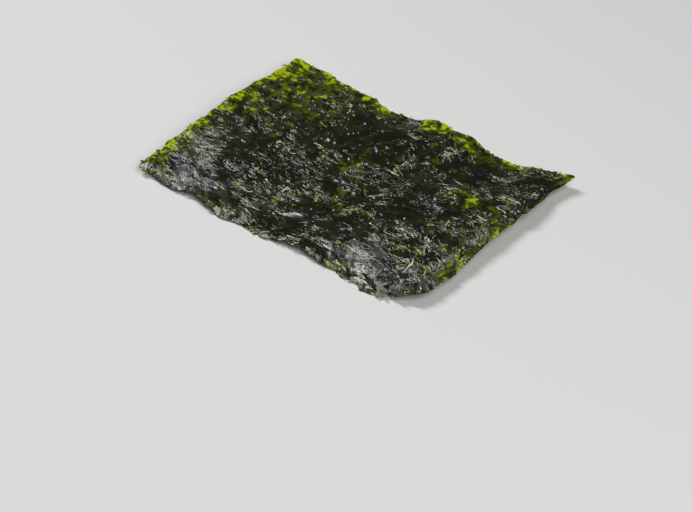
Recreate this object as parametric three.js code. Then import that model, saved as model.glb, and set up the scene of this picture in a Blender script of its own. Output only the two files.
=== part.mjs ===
// A cut sheet of roasted, oiled laver (nori), in millimetres with +Z up.
// It is one piece: chopped laver dried into a thin sheet that has gone wavy in the roasting.
// The long side lies along X and the short side along Y. The sheet lies on a table at z = 0,
// touching it with the bottoms of its waves, and the origin is under the middle of its outline.

import * as THREE from "three";
import { ImprovedNoise } from "three/addons/math/ImprovedNoise.js";

// The whole sheet as it leaves the drying frame, and how many pieces it is cut into each way
const DRIED_SHEET = { long: 270, short: 190 };
const CUTS = { long: 4, short: 2 };
const LENGTH = DRIED_SHEET.short / CUTS.short;
const WIDTH = DRIED_SHEET.long / CUTS.long;

// Laver thickness between a single layer of leaf and several overlapping ones
const THICKNESS = { least: 0.22, most: 0.42, patch: 5, layer: 5 };

// Cells along the length and the width
const COLUMNS = 62;
const ROWS = 44;

// Height of the level middle of the sheet over the table
const LIE_HEIGHT = 3.2;

// Broad waves: soft hills and dips. "at" is a share of the half length and half width,
// "rise" is the height at the middle of the wave, and "spread" is its half size along X and Y.
const WAVES = [
  { at: [-0.2, 1.05], rise: -3.4, spread: [11, 18] }, // first dip of the far side
  { at: [-0.55, 1.05], rise: -1.3, spread: [9, 12] }, // slope that leads down to it
  { at: [0.58, 1.05], rise: -3.6, spread: [11, 17] }, // second dip of the far side
  { at: [-0.12, -1.05], rise: -3.6, spread: [13, 18] }, // dip in the middle of the near side
  { at: [0.6, -1.35], rise: -7.2, spread: [12, 16] }, // near side bending down beside the front corner
  { at: [-0.76, -1.4], rise: -6.6, spread: [11, 15] }, // near side bending down beside the left corner
  { at: [-1.0, 0.1], rise: 2.5, spread: [17, 20] }, // arch of the left end
  { at: [1.0, 0.15], rise: 0.9, spread: [14, 16] }, // arch of the right end
  { at: [0.1, -0.05], rise: -0.6, spread: [24, 15] }, // shallow sag in the middle
];

// Crinkles of the pressed laver: two sizes of bump, longer along the fibres, which run along X
const CRINKLES = [
  { size: [11, 7], height: 0.55, layer: 1 },
  { size: [5.2, 3.6], height: 0.42, layer: 2 },
];

// Frayed cut edges: how far the edge wanders in and out and over what pitch, how deep into the sheet
// that reaches, the line of the noise field it is read along and the layer for each side
const FRAY = [
  { pitch: 8, depth: 0.8 },
  { pitch: 3.4, depth: 0.95 },
];
const FRAY_REACH = 4.5;
const FRAY_LINE = 0.5;
const SIDE_LAYER = { left: 11, right: 12, near: 13, far: 14 };

// Crags: torn flakes of leaf that stand out past a side and hang down from it, and, with "out" below zero,
// bites and a worn corner. "along" is a share of that side's half length.
const CRAGS = [
  { side: "near", along: -0.36, out: 1.3, hang: 0.6, half: 2.2 },
  { side: "near", along: 0.52, out: 1.4, hang: 0.7, half: 2.2 },
  { side: "near", along: 0.7, out: 1.8, hang: 1.0, half: 2.4 },
  { side: "far", along: 0.09, out: 1.0, hang: 0.2, half: 3.0 },
  { side: "far", along: 0.99, out: 1.0, hang: -0.6, half: 2.2 },
  { side: "right", along: 0.98, out: 1.5, hang: -0.5, half: 2.0 },
  { side: "left", along: -0.62, out: 0.9, hang: 0.2, half: 2.4 },
  { side: "near", along: -0.6, out: -1.6, hang: -0.7, half: 4.0 },
  { side: "near", along: 1.02, out: -3.0, hang: -0.5, half: 6.0 },
  { side: "right", along: -1.02, out: -2.6, hang: -0.3, half: 6.0 },
];
const CRAG_REACH = 3.2;

const LAVER = { color: 0x3b3f33, roughness: 0.45, metalness: 0 };

const perlin = new ImprovedNoise();
const LAYER_STEP = 3.7;

// Smooth repeatable noise from about -1 to 1. Each layer is a field of its own.
function noise(x, y, layer) {
  return perlin.noise(x, y, layer * LAYER_STEP);
}

// A soft bell: 1 at the middle, fading to nothing about two half sizes away.
function bell(offset, half) {
  return Math.exp(-((offset / half) ** 2));
}

// How much of a side's effect is left at some distance in from that side.
function fade(distance, reach) {
  return Math.exp(-distance / reach);
}

// The four sides as seen from a point of the plain rectangle.
// "along" and "share" place the point along the side, and "inward" is its distance from it.
function sidesAt(x, y) {
  const halfLength = LENGTH / 2;
  const halfWidth = WIDTH / 2;
  return [
    { name: "left", along: y, share: y / halfWidth, half: halfWidth, inward: halfLength + x, out: [-1, 0] },
    { name: "right", along: y, share: y / halfWidth, half: halfWidth, inward: halfLength - x, out: [1, 0] },
    { name: "near", along: x, share: x / halfLength, half: halfLength, inward: halfWidth + y, out: [0, -1] },
    { name: "far", along: x, share: x / halfLength, half: halfLength, inward: halfWidth - y, out: [0, 1] },
  ];
}

// How far the frayed edge stands out of its side at a place along it.
function frayDepth(side) {
  const layer = SIDE_LAYER[side.name];
  return FRAY.reduce((sum, { pitch, depth }) => sum + depth * noise(side.along / pitch, FRAY_LINE, layer), 0);
}

// The plan position and the drop of a point once fray and crags have moved it.
function frayed(x, y) {
  const moved = { x, y, drop: 0 };
  for (const side of sidesAt(x, y)) {
    let out = frayDepth(side) * fade(side.inward, FRAY_REACH);
    for (const crag of CRAGS.filter((c) => c.side === side.name)) {
      const share = bell((side.share - crag.along) * side.half, crag.half) * fade(side.inward, CRAG_REACH);
      out += crag.out * share;
      moved.drop += crag.hang * share;
    }
    moved.x += side.out[0] * out;
    moved.y += side.out[1] * out;
  }
  return moved;
}

// Height of the underside over the table. Where a dip meets the table it lies flat on it.
function underside(x, y, drop) {
  let z = LIE_HEIGHT - drop;
  for (const { at, rise, spread } of WAVES) {
    z += rise * bell(x - (at[0] * LENGTH) / 2, spread[0]) * bell(y - (at[1] * WIDTH) / 2, spread[1]);
  }
  for (const { size, height, layer } of CRINKLES) {
    z += height * noise(x / size[0], y / size[1], layer);
  }
  return Math.max(z, 0);
}

// Thickness of the laver, thicker where pieces of leaf overlap.
function thickness(x, y) {
  const overlap = 0.5 + 0.5 * noise(x / THICKNESS.patch, y / THICKNESS.patch, THICKNESS.layer);
  return THREE.MathUtils.lerp(THICKNESS.least, THICKNESS.most, overlap);
}

// Grid indexes of the sheet's outline, counter-clockwise as seen from above.
function outlineLoop() {
  const at = (column, row) => row * (COLUMNS + 1) + column;
  const loop = [];
  for (let c = 0; c < COLUMNS; c++) loop.push(at(c, ROWS));
  for (let r = ROWS; r > 0; r--) loop.push(at(COLUMNS, r));
  for (let c = COLUMNS; c > 0; c--) loop.push(at(c, 0));
  for (let r = 0; r < ROWS; r++) loop.push(at(0, r));
  return loop;
}

// The sheet as one closed solid. Both faces are split into the same triangles, so that they
// stay the laver's thickness apart all over.
function sheetGeometry() {
  const grid = new THREE.PlaneGeometry(LENGTH, WIDTH, COLUMNS, ROWS);
  const plain = grid.getAttribute("position");
  const upper = [];
  const lower = [];
  for (let i = 0; i < plain.count; i++) {
    const { x, y, drop } = frayed(plain.getX(i), plain.getY(i));
    const z = underside(x, y, drop);
    upper.push(x, y, z + thickness(x, y));
    lower.push(x, y, z);
  }
  const faces = [...grid.index.array];
  const below = (i) => i + plain.count;
  const triangles = [...faces, ...faces.map(below).reverse()];
  const loop = outlineLoop();
  loop.forEach((here, k) => {
    const next = loop[(k + 1) % loop.length];
    triangles.push(below(here), below(next), next, below(here), next, here);
  });
  const geometry = new THREE.BufferGeometry();
  geometry.setAttribute("position", new THREE.Float32BufferAttribute([...upper, ...lower], 3));
  geometry.setIndex(triangles);
  geometry.computeVertexNormals();
  return geometry;
}

// The finished sheet, with the middle of its outline over the origin.
function noriSheet() {
  const geometry = sheetGeometry();
  geometry.computeBoundingBox();
  const middle = geometry.boundingBox.getCenter(new THREE.Vector3());
  const sheet = new THREE.Mesh(geometry, new THREE.MeshStandardMaterial(LAVER));
  sheet.name = "nori_sheet";
  sheet.position.set(-middle.x, -middle.y, -geometry.boundingBox.min.z);
  return sheet;
}

const part = new THREE.Group();
part.add(noriSheet());

export default part;
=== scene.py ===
"""A cut sheet of roasted, oiled laver, dressed over its CAD solid and laid out as a Blender add-on."""

import math

import bpy
import numpy as np
from bpy.props import FloatProperty, FloatVectorProperty, IntProperty, PointerProperty
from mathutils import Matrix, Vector
from mathutils.bvhtree import BVHTree


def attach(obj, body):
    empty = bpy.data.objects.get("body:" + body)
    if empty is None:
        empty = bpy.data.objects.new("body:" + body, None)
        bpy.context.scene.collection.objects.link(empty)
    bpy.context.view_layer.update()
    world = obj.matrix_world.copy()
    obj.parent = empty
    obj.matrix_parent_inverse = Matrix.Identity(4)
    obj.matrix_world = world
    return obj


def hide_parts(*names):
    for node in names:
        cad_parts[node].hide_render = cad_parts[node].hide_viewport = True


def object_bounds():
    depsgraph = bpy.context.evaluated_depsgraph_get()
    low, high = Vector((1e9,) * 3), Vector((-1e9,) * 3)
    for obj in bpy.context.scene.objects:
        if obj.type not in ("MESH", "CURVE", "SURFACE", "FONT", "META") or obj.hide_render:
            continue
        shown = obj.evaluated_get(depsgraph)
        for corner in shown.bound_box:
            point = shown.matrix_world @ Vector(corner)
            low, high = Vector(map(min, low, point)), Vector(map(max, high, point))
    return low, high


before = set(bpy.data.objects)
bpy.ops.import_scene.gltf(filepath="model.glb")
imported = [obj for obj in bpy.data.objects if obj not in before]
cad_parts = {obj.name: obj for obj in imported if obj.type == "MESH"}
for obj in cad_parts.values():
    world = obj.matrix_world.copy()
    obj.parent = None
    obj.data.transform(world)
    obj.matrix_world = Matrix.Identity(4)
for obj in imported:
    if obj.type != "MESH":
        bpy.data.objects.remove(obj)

bl_info = {
    "name": "Nori Sheet",
    "version": (1, 0, 0),
    "blender": (4, 5, 0),
    "location": "View3D > Sidebar > Nori",
    "description": "Dresses a laver sheet with its relief, leaf flakes, strands and salt",
    "category": "Mesh",
}

MM = 0.001
NODE = "nori_sheet"
BODY = "root"

# Pieces that other pieces lie on
SHEET = "laver_sheet"
FLAKES = "laver_flakes"
FILM = "laver_film"

CAD_LOW, CAD_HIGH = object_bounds()
HALF_LENGTH = (CAD_HIGH.x - CAD_LOW.x) / 2
HALF_WIDTH = (CAD_HIGH.y - CAD_LOW.y) / 2


# Settings that a user would change

def count_setting(things, default):
    return IntProperty(name="Count", description=f"How many {things}", default=default, min=1)


def length_setting(name, description, default):
    return FloatProperty(name=name, description=description, default=default, unit="LENGTH", precision=5)


def along_setting(things, default):
    return FloatProperty(
        name="Along", description=f"Share of the {things} that follow the sheet's grain",
        default=default, min=0, max=1, subtype="FACTOR")


def seed_setting(default):
    return IntProperty(name="Seed", description="Seed of the random draws", default=default)


def colour_setting(name, description, default):
    return FloatVectorProperty(
        name=name, description=description, default=default, subtype="COLOR", min=0, max=1)


class SheetSettings(bpy.types.PropertyGroup):
    """Relief of the pressed sheet."""

    refine: IntProperty(
        name="Refine", description="Subdivision steps over the solid", default=2, min=0, max=3)
    wrinkle_height: length_setting("Wrinkle height", "Height of the small wrinkles in the sheet", 0.26 * MM)
    fibre_height: length_setting("Fibre height", "Height of the ridges that run along the fibres", 0.20 * MM)


class FlakeSettings(bpy.types.PropertyGroup):
    """Thin pieces of leaf that lie on the sheet with their edges lifted."""

    count: count_setting("leaf flakes lie on the sheet", 420)
    size: length_setting("Size", "Usual half length of a flake", 1.1 * MM)
    lift: length_setting("Lift", "How far the loose side of a flake stands up", 0.16 * MM)
    seed: seed_setting(21)


class FleckSettings(bpy.types.PropertyGroup):
    """Small pieces of leaf in the thin places, painted bright lime as light shining through them."""

    count: count_setting("flecks lie on the sheet", 320)
    size: length_setting("Size", "Usual half length of a fleck", 0.55 * MM)
    lift: length_setting("Lift", "How far the loose side of a fleck stands up", 0.08 * MM)
    seed: seed_setting(27)


class FilmSettings(bpy.types.PropertyGroup):
    """Larger pieces of smooth leaf, painted with a grey sheen that stands for reflected light."""

    count: count_setting("pieces of film lie on the sheet", 84)
    size: length_setting("Size", "Usual half length of a piece", 1.6 * MM)
    lift: length_setting("Lift", "How far the loose side of a piece stands up", 0.22 * MM)
    seed: seed_setting(83)


class TatterSettings(bpy.types.PropertyGroup):
    """Torn leaf that hangs over the near edge, pale partly as dry leaf and partly as a painted highlight of
    the lit edge.
    """

    count: count_setting("pieces hang over the edge", 230)
    size: length_setting("Size", "Usual half length of a piece", 0.48 * MM)
    lift: length_setting("Lift", "How far the loose side of a piece stands up", 0.30 * MM)
    seed: seed_setting(91)


class FringeSettings(bpy.types.PropertyGroup):
    """Torn scraps of leaf along the cut edges."""

    count: count_setting("scraps stand out of the edges", 1300)
    size: length_setting("Size", "Usual half length of a scrap", 0.5 * MM)
    seed: seed_setting(33)


class StrandSettings(bpy.types.PropertyGroup):
    """Fine strands of chopped leaf that stand out of the surface."""

    count: count_setting("strands lie on the sheet", 4200)
    length: length_setting("Length", "Usual length of a strand", 1.05 * MM)
    width: length_setting("Width", "Usual width of a strand", 0.22 * MM)
    along: along_setting("strands", 0.62)
    seed: seed_setting(47)


class ShredSettings(bpy.types.PropertyGroup):
    """Wider folds and shreds of leaf, fewer than the strands."""

    count: count_setting("shreds lie on the sheet", 200)
    length: length_setting("Length", "Usual length of a shred", 2.4 * MM)
    width: length_setting("Width", "Usual width of a shred", 0.30 * MM)
    along: along_setting("shreds", 0.75)
    seed: seed_setting(71)


class CombingSettings(bpy.types.PropertyGroup):
    """Fine pale strands that lie side by side, as if combed, in the sheen along the near side."""

    count: count_setting("combed strands lie on the sheet", 1080)
    length: length_setting("Length", "Usual length of a combed strand", 1.7 * MM)
    width: length_setting("Width", "Usual width of a combed strand", 0.17 * MM)
    along: along_setting("combed strands", 0.95)
    seed: seed_setting(64)


class SaltSettings(bpy.types.PropertyGroup):
    """Fine salt."""

    count: count_setting("grains of salt show", 115)
    size: length_setting("Size", "Usual width of a grain", 0.35 * MM)
    seed: seed_setting(58)


class ColourSettings(bpy.types.PropertyGroup):
    """Colours of roasted laver and of salt, and of painted light: lime for light shining through thin leaf,
    and greys for a painted sheen.
    """

    brown: colour_setting("Brown", "Thick laver in the middle of the sheet", (0.0115, 0.0102, 0.0056))
    green: colour_setting("Green", "Laver of middling thickness", (0.0205, 0.0230, 0.0075))
    slate: colour_setting("Slate", "Thick laver with a blue cast", (0.0075, 0.0098, 0.0115))
    olive: colour_setting("Olive", "Thin laver", (0.062, 0.084, 0.004))
    # Lime is painted light: the glow of light shining through a single layer of leaf.
    lime: colour_setting("Lime", "A single layer of leaf with light in it", (0.46, 0.55, 0.002))
    pale: colour_setting("Pale", "Dry threads and the edges of flakes", (0.72, 0.80, 0.64))
    mist: colour_setting("Mist", "Dry threads of a cooler green", (0.60, 0.72, 0.56))
    # Frost is a painted reflection: the whitened grey of dry threads that lie in the painted sheen.
    frost: colour_setting("Frost", "Dry threads in the grey bloom", (0.78, 0.80, 0.82))
    teal: colour_setting("Teal", "Patches of a cool grey-green", (0.080, 0.110, 0.062))
    # The next two colours paint a sheen: the dark and light grey of light reflected from smooth leaf.
    milky: colour_setting("Milky", "Smooth patches of leaf with a grey bloom", (0.052, 0.056, 0.068))
    film: colour_setting("Film", "The lightest of the grey bloom", (0.19, 0.203, 0.213))
    clear_salt: colour_setting("Clear salt", "Salt that the laver shows through", (0.30, 0.31, 0.31))
    white_salt: colour_setting("White salt", "The whitest of the salt", (0.66, 0.67, 0.68))


class StageSettings(bpy.types.PropertyGroup):
    """Camera, light and floor."""

    azimuth: FloatProperty(
        name="Azimuth", description="Camera direction round the sheet",
        default=math.radians(38.7), subtype="ANGLE")
    elevation: FloatProperty(
        name="Elevation", description="Camera height over the table",
        default=math.radians(37.9), subtype="ANGLE")
    distance: FloatProperty(
        name="Distance", description="From the camera to the point that it looks at",
        default=516 * MM, unit="LENGTH")
    look_at: FloatVectorProperty(
        name="Look at", description="Point in the middle of the picture, in front of and below the sheet",
        default=(7.0 * MM, -11.6 * MM, -14.8 * MM), subtype="XYZ", unit="LENGTH", precision=5)
    lens: FloatProperty(name="Lens", description="Focal length", default=100.0, unit="CAMERA")
    key_power: FloatProperty(
        name="Key", description="Power of the soft light at the left", default=2.4, unit="POWER")
    key_size: FloatVectorProperty(
        name="Key size", description="Width and length of the soft light at the left", size=2,
        default=(0.14, 0.34), unit="LENGTH")
    fill_power: FloatProperty(
        name="Fill", description="Power of the broad light on the camera's side", default=4.9, unit="POWER")
    fill_size: FloatProperty(
        name="Fill size", description="Width of the broad light on the camera's side",
        default=0.6, unit="LENGTH")
    ambient: FloatProperty(name="Ambient", description="Brightness of the surroundings", default=0.035)
    floor: colour_setting("Floor", "Colour of the floor", (0.86, 0.86, 0.87))


class NoriSettings(bpy.types.PropertyGroup):
    """All settings of the nori sheet."""

    sheet: PointerProperty(type=SheetSettings)
    flakes: PointerProperty(type=FlakeSettings)
    flecks: PointerProperty(type=FleckSettings)
    film: PointerProperty(type=FilmSettings)
    tatters: PointerProperty(type=TatterSettings)
    fringe: PointerProperty(type=FringeSettings)
    strands: PointerProperty(type=StrandSettings)
    shreds: PointerProperty(type=ShredSettings)
    combings: PointerProperty(type=CombingSettings)
    salt: PointerProperty(type=SaltSettings)
    colours: PointerProperty(type=ColourSettings)
    stage: PointerProperty(type=StageSettings)


# Fields over the plan

# Points along each side of the lattice that a random field is drawn on
LATTICE = 256

# Random fields: the size of their patches and their seed
FIELDS = {
    "spots": (3.0 * MM, 5),
    "small spots": (1.3 * MM, 6),
    "blobs": (3.0 * MM, 7),
    "small blobs": (1.2 * MM, 8),
    "swirl": (13 * MM, 9),
    "shreds": (1.5 * MM, 10),
    "small shreds": (0.8 * MM, 11),
    "clumps": (4.5 * MM, 12),
    "combed clumps": (3.2 * MM, 13),
    "film clumps": (4 * MM, 14),
    "mottle": (2.0 * MM, 15),
    "small mottle": (0.8 * MM, 16),
    "dry regions": (6 * MM, 17),
    "dry patches": (1.6 * MM, 18),
    "leafy patches": (2.6 * MM, 19),
    "tatters": (5 * MM, 22),
    "lean": (7 * MM, 24),
    "cool strands": (3 * MM, 25),
}

# How deep the thin edge, painted lime as light shining through it, reaches in from each side of the sheet
RIM_REACH = {"left": 4.3 * MM, "right": 1.3 * MM, "near": 1.2 * MM, "far": 2.4 * MM}

# How far in from the near side of the CAD box its torn edge reaches
NEAR_EDGE = 5 * MM

# Soft ovals in the plan are given by their middle as shares of the half length and half width,
# their half sizes in millimetres and their strength. Here the laver is thin, and in its thinnest parts lime
# is painted as light shining through.
THIN_PLACES = (
    ((-0.95, 0.80), (6, 11), 0.65),
    ((-0.97, 0.05), (4, 8), 0.70),
    ((-0.98, -0.50), (3.5, 9), 0.65),
    ((-0.70, 0.62), (14, 16), 0.36),
    ((-0.30, 0.90), (4, 3), 0.50),
    ((0.06, 0.90), (5, 4), 0.60),
    ((0.38, 0.88), (8, 4), 0.40),
    ((0.22, -0.35), (8, 4), 0.35),
    ((0.66, 0.26), (5, 5), 0.38),
    ((0.93, -0.20), (6, 16), 0.34),
    ((-0.06, 0.08), (5, 6), 0.30),
)

# Ovals where few strands stand out of the surface
SMOOTH_PLACES = (
    ((-0.28, 0.48), (18, 12), 0.95),
    ((0.06, -0.60), (15, 8), 0.65),
    ((0.55, 0.62), (9, 6), 0.40),
    ((-0.70, -0.80), (12, 9), 0.75),
    ((0.62, -0.85), (12, 10), 0.75),
    ((-0.60, -0.08), (11, 9), 0.65),
    ((-0.75, 0.60), (12, 13), 0.60),
)

# Ovals where fine pale strands lie side by side
COMBED_PLACES = (
    ((-0.77, -0.45), (6, 7), 0.9),
    ((-0.52, -0.72), (13, 5), 0.9),
    ((0.55, -0.72), (12, 7), 0.6),
    ((0.92, -0.30), (4, 17), 0.6),
    ((0.0, -0.92), (26, 3), 0.35),
)

# Ovals where the salt shows
SALTY_PLACES = (
    ((-0.30, 0.42), (20, 14), 1.0),
    ((0.45, 0.10), (18, 14), 0.45),
    ((0.0, -0.40), (30, 12), 0.30),
)

# Ovals where the creases of the sheet are shallow
CALM_PLACES = (
    ((-0.28, 0.45), (18, 11), 0.85),
    ((0.06, -0.62), (16, 9), 0.9),
    ((-0.97, 0.30), (5, 30), 0.7),
    ((0.55, 0.62), (10, 7), 0.5),
)

# Ovals where the laver is a cool grey-green with many pale threads
COOL_PLACES = (
    ((0.92, -0.25), (5, 18), 0.50),
    ((-0.68, 0.60), (12, 12), 0.95),
    ((0.40, 0.26), (6, 4), 0.4),
    ((-0.78, -0.30), (5, 8), 0.5),
)

# Ovals where a painted grey sheen, standing for reflected light, covers smooth patches of leaf
SHEEN_PLACES = (
    ((-0.62, -0.74), (14, 6), 1.0),
    ((-0.80, -0.62), (5, 6), 0.6),
    ((0.66, -0.82), (14, 7), 1.0),
    ((0.42, -0.62), (8, 5), 0.7),
)

# Ovals where larger torn leaf, paler with a painted highlight, hangs over the near edge
TORN_PLACES = (
    ((0.68, -0.98), (9, 5), 1.0),
    ((-0.42, -0.98), (7, 5), 0.6),
)

# How thin the rim, the thin ovals and the spots are: a plain part, and parts that are broken into
# blobs or into shreds
RIM_PLAIN = 0.30
RIM_BLOBS = 0.9
OVAL_PLAIN = 0.1
OVAL_BLOBS = 0.6
OVAL_SHREDS = 0.75
SPOT_THINNESS = 0.35

# Clumps: how steeply their field is cut off, where, and what is left in the gaps
CLUMP_SLOPE = 4.0
CLUMP_CUT = 1.5
CLUMP_LEAST = 0.03


def ease(share):
    """Smooth step from 0 to 1."""
    return share * share * (3 - 2 * share)


def between(value, low, high):
    """How far a value has come from low to high, from 0 to 1."""
    return np.clip((value - low) / (high - low), 0, 1)


def smooth_field(x, y, name):
    """Smooth random field from 0 to 1 over the plan."""
    size, seed = FIELDS[name]
    lattice = np.random.default_rng(seed).random((LATTICE, LATTICE))
    u = x / size + LATTICE / 2
    v = y / size + LATTICE / 2
    column = np.floor(u).astype(int)
    row = np.floor(v).astype(int)
    across = ease(u - column)
    along = ease(v - row)
    left, right = column % LATTICE, (column + 1) % LATTICE
    low, high = row % LATTICE, (row + 1) % LATTICE
    near = lattice[left, low] * (1 - across) + lattice[right, low] * across
    far = lattice[left, high] * (1 - across) + lattice[right, high] * across
    return near * (1 - along) + far * along


def mixed_field(x, y, name, share):
    """A random field with some share of its small one in it."""
    return smooth_field(x, y, name) * (1 - share) + smooth_field(x, y, "small " + name) * share


def clumped(x, y, name):
    """Clumps of a random field with gaps between them, from almost 0 to 1."""
    return np.clip(CLUMP_SLOPE * smooth_field(x, y, name) - CLUMP_CUT, CLUMP_LEAST, 1)


def oval_share(x, y, places):
    """The strongest of some soft ovals at each point."""
    share = np.zeros_like(x)
    for (at_x, at_y), (half_x, half_y), strength in places:
        off_x = (x - at_x * HALF_LENGTH) / (half_x * MM)
        off_y = (y - at_y * HALF_WIDTH) / (half_y * MM)
        share = np.maximum(share, strength * np.exp(-off_x ** 2 - off_y ** 2))
    return share


def rim_share(x, y):
    """1 at the edge of the sheet, fading inward."""
    inward = {
        "left": x + HALF_LENGTH,
        "right": HALF_LENGTH - x,
        "near": y + HALF_WIDTH,
        "far": HALF_WIDTH - y,
    }
    shares = [np.exp(-np.clip(inward[side], 0, None) / RIM_REACH[side]) for side in inward]
    return np.max(shares, axis=0)


def thinness(x, y):
    """How thin the laver is: 0 where it is thick and dark, 1 for a single leaf, painted lime as light shining
    through it.
    """
    spots = between(mixed_field(x, y, "spots", share=0.4), low=0.60, high=0.85)
    blobs = ease(between(mixed_field(x, y, "blobs", share=0.25), low=0.28, high=0.72))
    shreds = ease(between(mixed_field(x, y, "shreds", share=0.4), low=0.34, high=0.70))
    rim = rim_share(x, y) * (RIM_PLAIN + RIM_BLOBS * blobs)
    ovals = oval_share(x, y, THIN_PLACES) * (OVAL_PLAIN + OVAL_BLOBS * blobs + OVAL_SHREDS * shreds)
    return np.clip(rim + ovals + SPOT_THINNESS * spots, 0, 1)


def coolness(x, y):
    """How much of a cool grey-green the laver has."""
    mottle = ease(between(mixed_field(x, y, "mottle", share=0.3), low=0.30, high=0.70))
    return oval_share(x, y, COOL_PLACES) * mottle


class SheetTop:
    """Heights of the upper face on a fine grid, for laying small pieces on it."""

    STEP = 0.4 * MM
    ABOVE = 20 * MM
    # Keeps the last point of the grid inside its last cell
    SHORT_OF_END = 1.001

    def __init__(self, *names):
        depsgraph = bpy.context.evaluated_depsgraph_get()
        self.x = np.arange(CAD_LOW.x, CAD_HIGH.x + self.STEP, self.STEP)
        self.y = np.arange(CAD_LOW.y, CAD_HIGH.y + self.STEP, self.STEP)
        layers = [self.cast(BVHTree.FromObject(bpy.data.objects[name], depsgraph)) for name in names]
        self.covered = ~np.isnan(layers[0])
        self.z = np.fmax.reduce(layers)
        self.fill_outside()

    def cast(self, tree):
        """Heights of one piece, or not a number where it isn't under the point."""
        down = Vector((0, 0, -1))
        heights = np.full((len(self.x), len(self.y)), np.nan)
        for i, x in enumerate(self.x):
            for j, y in enumerate(self.y):
                hit = tree.ray_cast(Vector((x, y, self.ABOVE)), down)[0]
                if hit is not None:
                    heights[i, j] = hit.z
        return heights

    def fill_outside(self):
        """Carries the heights of the edge on past it, so that scraps can stand out of the edge."""
        while np.isnan(self.z).any():
            padded = np.pad(self.z, 1, constant_values=np.nan)
            around = np.stack([padded[2:, 1:-1], padded[:-2, 1:-1], padded[1:-1, 2:], padded[1:-1, :-2]])
            known = ~np.isnan(around)
            total = np.where(known, around, 0).sum(axis=0)
            share = known.sum(axis=0)
            fill = np.isnan(self.z) & (share > 0)
            self.z[fill] = total[fill] / share[fill]

    def height(self, x, y):
        """Height of the upper face over the table."""
        u = np.clip((x - self.x[0]) / self.STEP, 0, len(self.x) - self.SHORT_OF_END)
        v = np.clip((y - self.y[0]) / self.STEP, 0, len(self.y) - self.SHORT_OF_END)
        i = u.astype(int)
        j = v.astype(int)
        across = u - i
        along = v - j
        near = self.z[i, j] * (1 - across) + self.z[i + 1, j] * across
        far = self.z[i, j + 1] * (1 - across) + self.z[i + 1, j + 1] * across
        return near * (1 - along) + far * along

    def inside(self, x, y):
        """True where there is sheet under the point."""
        i = np.clip(np.round((x - self.x[0]) / self.STEP), 0, len(self.x) - 1).astype(int)
        j = np.clip(np.round((y - self.y[0]) / self.STEP), 0, len(self.y) - 1).astype(int)
        return self.covered[i, j]


# Objects and meshes

# Faces that meet at more than this angle have a sharp edge between them
CREASE = math.radians(35)


def deselect_all():
    bpy.ops.object.select_all(action="DESELECT")


def make_active(obj):
    deselect_all()
    obj.select_set(True)
    bpy.context.view_layer.objects.active = obj


def new_piece(name, mesh):
    """Links a mesh as an object at the origin and makes it the only selected one."""
    obj = bpy.data.objects.new(name, mesh)
    bpy.context.scene.collection.objects.link(obj)
    make_active(obj)
    return obj


def apply_modifiers(obj):
    make_active(obj)
    for modifier in list(obj.modifiers):
        bpy.ops.object.modifier_apply(modifier=modifier.name)


def set_point_values(mesh, values):
    """Stores numbers for each vertex under the names that the materials read."""
    for name, numbers in values.items():
        layer = mesh.attributes.new(name, "FLOAT", "POINT")
        layer.data.foreach_set("value", np.ascontiguousarray(numbers, dtype=np.float32).ravel())


def scatter_mesh(name, points, faces, values):
    """One mesh of many like pieces. points is pieces by vertices by 3, faces are those of one piece."""
    pieces, vertices = points.shape[:2]
    corners = np.array(faces)
    shift = (np.arange(pieces) * vertices)[:, None, None]
    mesh = bpy.data.meshes.new(name)
    mesh.from_pydata(points.reshape(-1, 3), [], (corners[None] + shift).reshape(-1, corners.shape[1]))
    set_point_values(mesh, {key: np.broadcast_to(value, (pieces, vertices)) for key, value in values.items()})
    return mesh


def dress(obj, material):
    """Shades a finished piece of laver and gives it its material and body."""
    make_active(obj)
    bpy.ops.object.shade_smooth_by_angle(angle=CREASE)
    obj.data.materials.clear()
    obj.data.materials.append(material)
    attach(obj, BODY)


# Nodes of materials

def new_material(name):
    """A new material, its node tree and its Principled shader."""
    material = bpy.data.materials.new(name)
    material.use_nodes = True
    tree = material.node_tree
    return material, tree, tree.nodes["Principled BSDF"]


def add_node(tree, kind, inputs=None, **settings):
    """Adds a node, sets its properties and sets or links its inputs."""
    node = tree.nodes.new(kind)
    for name, value in settings.items():
        setattr(node, name, value)
    for key, value in (inputs or {}).items():
        if isinstance(value, bpy.types.NodeSocket):
            tree.links.new(value, node.inputs[key])
        else:
            node.inputs[key].default_value = value
    return node


def plan_coordinates(tree, stretch=(1.0, 1.0, 1.0)):
    """Object coordinates in millimetres, squeezed along the axes where a pattern is drawn out."""
    place = add_node(tree, "ShaderNodeTexCoord")
    scale = tuple(share / MM for share in stretch)
    mapped = add_node(tree, "ShaderNodeMapping", {"Vector": place.outputs["Object"], "Scale": scale})
    return mapped.outputs["Vector"]


def noise(tree, where, scale, detail=3.0, roughness=0.55, distortion=0.0):
    """Noise from 0 to 1. scale is the number of bumps in a millimetre."""
    inputs = {"Scale": scale, "Detail": detail, "Roughness": roughness, "Distortion": distortion}
    return add_node(tree, "ShaderNodeTexNoise", {"Vector": where, **inputs}).outputs["Fac"]


def ramp(tree, value, low, high, bottom=0.0, top=1.0):
    """Maps a value between low and high smoothly to bottom and top."""
    node = add_node(
        tree, "ShaderNodeMapRange",
        {"Value": value, "From Min": low, "From Max": high, "To Min": bottom, "To Max": top},
        interpolation_type="SMOOTHSTEP")
    return node.outputs["Result"]


def product(tree, first, second):
    """Two values multiplied, held between 0 and 1."""
    node = add_node(tree, "ShaderNodeMath", {0: first, 1: second}, operation="MULTIPLY", use_clamp=True)
    return node.outputs["Value"]


def fold_lines(tree, value):
    """How far a noise is from its middle: 0 on the folds, where it crosses the middle, and up from there."""
    off = add_node(tree, "ShaderNodeMath", {0: value, 1: 0.5}, operation="SUBTRACT")
    return add_node(tree, "ShaderNodeMath", {0: off.outputs["Value"]}, operation="ABSOLUTE").outputs["Value"]


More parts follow.
